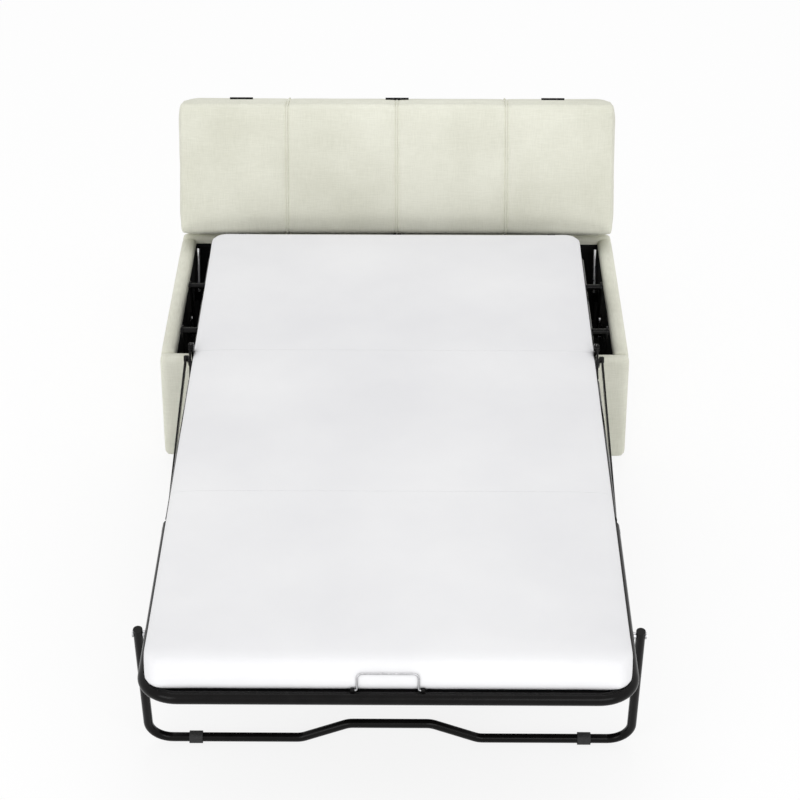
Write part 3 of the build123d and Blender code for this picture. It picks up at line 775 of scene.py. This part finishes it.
def dust_sheet():
    low, high = [Vector(place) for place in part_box("dust_sheet")]
    size = high - low
    bpy.ops.object.select_all(action="DESELECT")
    place = ((low.x + high.x) / 2, (low.y + high.y) / 2, high.z - DUST_SHEET_BELOW_TOP)
    bpy.ops.mesh.primitive_grid_add(x_subdivisions=30, y_subdivisions=20, size=1, location=place)
    piece = bpy.context.active_object
    piece.name = "dust_sheet_cloth"
    piece.scale = (size.x, size.y, 1)
    bpy.ops.object.transform_apply(location=True, rotation=True, scale=True)
    points = read_points(piece.data)
    share_x = np.clip((points[:, 0] - low.x) / size.x, 0, 1)
    share_y = np.clip((points[:, 1] - low.y) / size.y, 0, 1)
    sag = np.sin(share_x * math.pi) ** SAG_POWER * np.sin(share_y * math.pi) ** SAG_POWER
    points[:, 2] -= DUST_SHEET_SAG * sag
    write_points(piece.data, points)
    give_thickness(piece, DUST_SHEET_THICKNESS, 0)
    smooth_faces(piece)
    finish_piece(piece, "box", "black_cloth", "dust_sheet")


def box_lining():
    """One black sheet up the four walls and over the floor of the box."""
    low, high = [Vector(place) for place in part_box("box_lining")]
    piece = start_cube("box_lining_cloth", low, high)
    select_only(piece)
    bpy.ops.object.mode_set(mode="EDIT")
    bpy.ops.mesh.select_mode(type="FACE")
    bpy.ops.mesh.select_all(action="DESELECT")
    mesh = bmesh.from_edit_mesh(piece.data)
    for face in mesh.faces:
        face.select = face.normal.z > 0.9
    bmesh.update_edit_mesh(piece.data)
    bpy.ops.mesh.delete(type="FACE")
    bpy.ops.mesh.select_all(action="SELECT")
    bpy.ops.mesh.subdivide(number_cuts=23)
    bpy.ops.object.mode_set(mode="OBJECT")
    points = read_points(piece.data)
    middle = np.array((low + high) / 2)
    across, along, up = (points * np.array(RIPPLES_PER_METRE)).T
    ripple = np.sin(across) * np.sin(along + 1) * np.sin(up)
    inward = np.sign(middle - points) * (np.abs(points - middle) > np.array((high - low) / 2) - SAME_PLACE)
    inward[:, 2] = np.maximum(inward[:, 2], 0)
    points += inward * ((LINING_RIPPLE * (ripple + 1)))[:, None]
    write_points(piece.data, points)
    give_thickness(piece, LINING_THICKNESS, -1)
    smooth_faces(piece, 50)
    finish_piece(piece, "box", "black_cloth", "box_lining")


# Studio: pale floor, white surroundings and soft lamps
WORLD_STRENGTH = 0.8
FLOOR_SIZE = 30
FLOOR_SHADE = 0.16


def studio():
    world = bpy.data.worlds.new("studio")
    scene.world = world
    world.use_nodes = True
    tree = world.node_tree
    tree.nodes.clear()
    light = add_node(tree, "ShaderNodeBackground")
    light.inputs["Strength"].default_value = WORLD_STRENGTH
    seen = add_node(tree, "ShaderNodeBackground")
    seen.inputs["Color"].default_value = (1, 1, 1, 1)
    seen.inputs["Strength"].default_value = 1.0
    light.inputs["Color"].default_value = (1, 1, 1, 1)
    path = add_node(tree, "ShaderNodeLightPath")
    shown = math_node(tree, "MAXIMUM", path.outputs["Is Camera Ray"], path.outputs["Is Glossy Ray"])
    shown = math_node(tree, "MAXIMUM", shown, path.outputs["Is Transmission Ray"])
    mix = add_node(tree, "ShaderNodeMixShader")
    tree.links.new(shown, mix.inputs[0])
    tree.links.new(light.outputs[0], mix.inputs[1])
    tree.links.new(seen.outputs[0], mix.inputs[2])
    output = add_node(tree, "ShaderNodeOutputWorld")
    tree.links.new(mix.outputs[0], output.inputs["Surface"])

    bpy.ops.object.select_all(action="DESELECT")
    bpy.ops.mesh.primitive_plane_add(size=FLOOR_SIZE, location=(0, 0, 0))
    floor = bpy.context.active_object
    floor.name = "floor"
    material = bpy.data.materials.new("floor_white")
    material.use_nodes = True
    tree = material.node_tree
    tree.nodes.clear()
    matt = add_node(tree, "ShaderNodeBsdfDiffuse")
    matt.inputs["Color"].default_value = (1.0, 1.0, 1.0, 1)
    glow = add_node(tree, "ShaderNodeEmission")
    glow.inputs["Strength"].default_value = 1.0
    path = add_node(tree, "ShaderNodeLightPath")
    shown = math_node(tree, "MAXIMUM", path.outputs["Is Camera Ray"], path.outputs["Is Glossy Ray"])
    share = math_node(tree, "MULTIPLY", shown, 1 - FLOOR_SHADE)
    mix = add_node(tree, "ShaderNodeMixShader")
    tree.links.new(share, mix.inputs[0])
    tree.links.new(matt.outputs[0], mix.inputs[1])
    tree.links.new(glow.outputs[0], mix.inputs[2])
    output = add_node(tree, "ShaderNodeOutputMaterial")
    tree.links.new(mix.outputs[0], output.inputs["Surface"])
    floor.data.materials.append(material)


# Each lamp: name, place, the point it faces, size and power
LAMPS = (("key_softbox", (1.8, -4.8, 2.4), (0, 0.4, 0.3), (3.0, 2.0), 58),
         ("fill_softbox", (-2.6, -4.4, 2.0), (0, 0.4, 0.3), (2.5, 2.0), 46),
         ("top_softbox", (0, 1.0, 4.5), (0, 0.2, 0), (3.0, 3.0), 24))


def soft_lamp(name, place, aim, size, power):
    data = bpy.data.lights.new(name, "AREA")
    data.shape = "RECTANGLE"
    data.size, data.size_y = size
    data.energy = power
    lamp = bpy.data.objects.new(name, data)
    lamp.location = place
    direction = Vector(aim) - Vector(place)
    lamp.rotation_euler = direction.to_track_quat("-Z", "Y").to_euler()
    scene.collection.objects.link(lamp)


place_camera()
dress_cad_nodes()
mattress()
lid()
box_walls()
slings()
dust_sheet()
box_lining()
studio()
for lamp in LAMPS:
    soft_lamp(*lamp)
